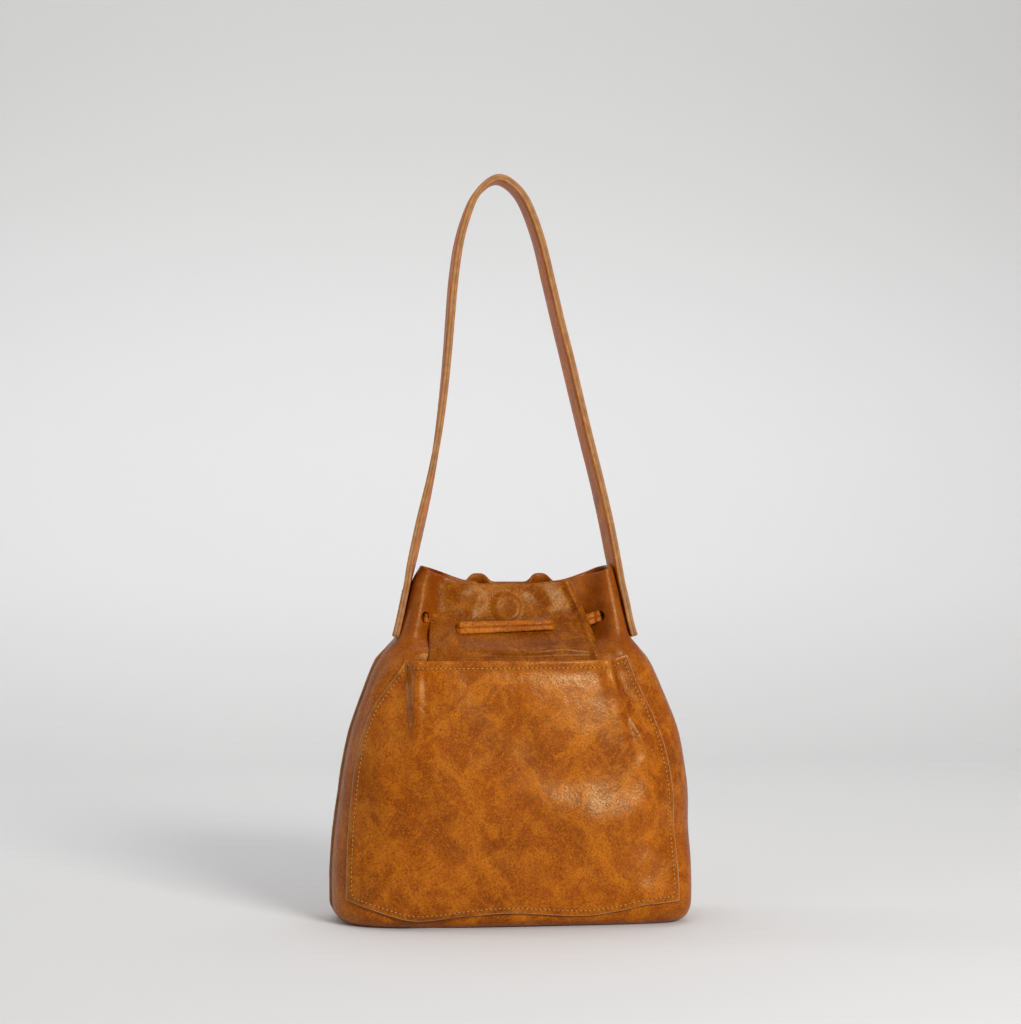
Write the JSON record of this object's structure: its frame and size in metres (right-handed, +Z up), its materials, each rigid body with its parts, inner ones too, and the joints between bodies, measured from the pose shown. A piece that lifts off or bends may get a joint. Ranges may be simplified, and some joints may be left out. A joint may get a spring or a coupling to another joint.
{
  "type": "bucket bag",
  "caption": "Soft leather bucket bag with a front patch pocket, a drawstring mouth that closes with magnets, and a shoulder strap.",
  "frame": {"origin": "Middle of the base, on the surface that the bag stands on.", "axes": "+Z is up toward the strap. The front, with the pocket, faces -Y. +X is to the right as seen from the front."},
  "size_m": [0.2826, 0.118, 0.5707],
  "materials": {
    "leather_body": "soft oiled pull-up leather with lighter scuffs and darker folds",
    "leather_strap": "bonded double leather strap with raw cut edges",
    "leather_lace": "folded flat leather lace with a stitched middle",
    "leather_welt": "raw cut leather edge",
    "leather_lining": "flesh side of the leather",
    "magnet_steel": "nickel-plated disc magnet"
  },
  "bodies": {
    "bag": {"front_panel": "leather_body", "back_panel": "leather_body", "base_panel": "leather_body", "left_side_welt": "leather_welt", "right_side_welt": "leather_welt", "front_pocket": "leather_body", "left_strap_end_inner": "leather_strap", "left_strap_end_outer": "leather_strap", "left_strap_patch": "leather_lining", "right_strap_end_inner": "leather_strap", "right_strap_end_outer": "leather_strap", "right_strap_patch": "leather_lining", "drawstring": "leather_lace"},
    "front_mouth": {"front_flap": "leather_body", "front_magnet_patch": "leather_lining", "front_magnet": "magnet_steel"},
    "back_mouth": {"back_flap": "leather_body", "back_magnet_patch": "leather_lining", "back_magnet": "magnet_steel"},
    "shoulder_strap": {"strap_outer": "leather_strap", "strap_inner": "leather_strap"}
  },
  "joints": [
    {"name": "strap_swing", "type": "hinge", "parent": "bag", "child": "shoulder_strap", "pos_m": [0, 0, 0.271], "axis": [1, 0, 0], "range_deg": [-90, 90]},
    {"name": "front_mouth_open", "type": "hinge", "parent": "bag", "child": "front_mouth", "pos_m": [0, -0.03615, 0.204], "axis": [1, 0, 0], "range_deg": [0, 28], "deforming": ["drawstring"]},
    {"name": "back_mouth_open", "type": "hinge", "parent": "bag", "child": "back_mouth", "pos_m": [0, 0.03615, 0.204], "axis": [-1, 0, 0], "range_deg": [0, 28], "deforming": ["drawstring"]}
  ]
}
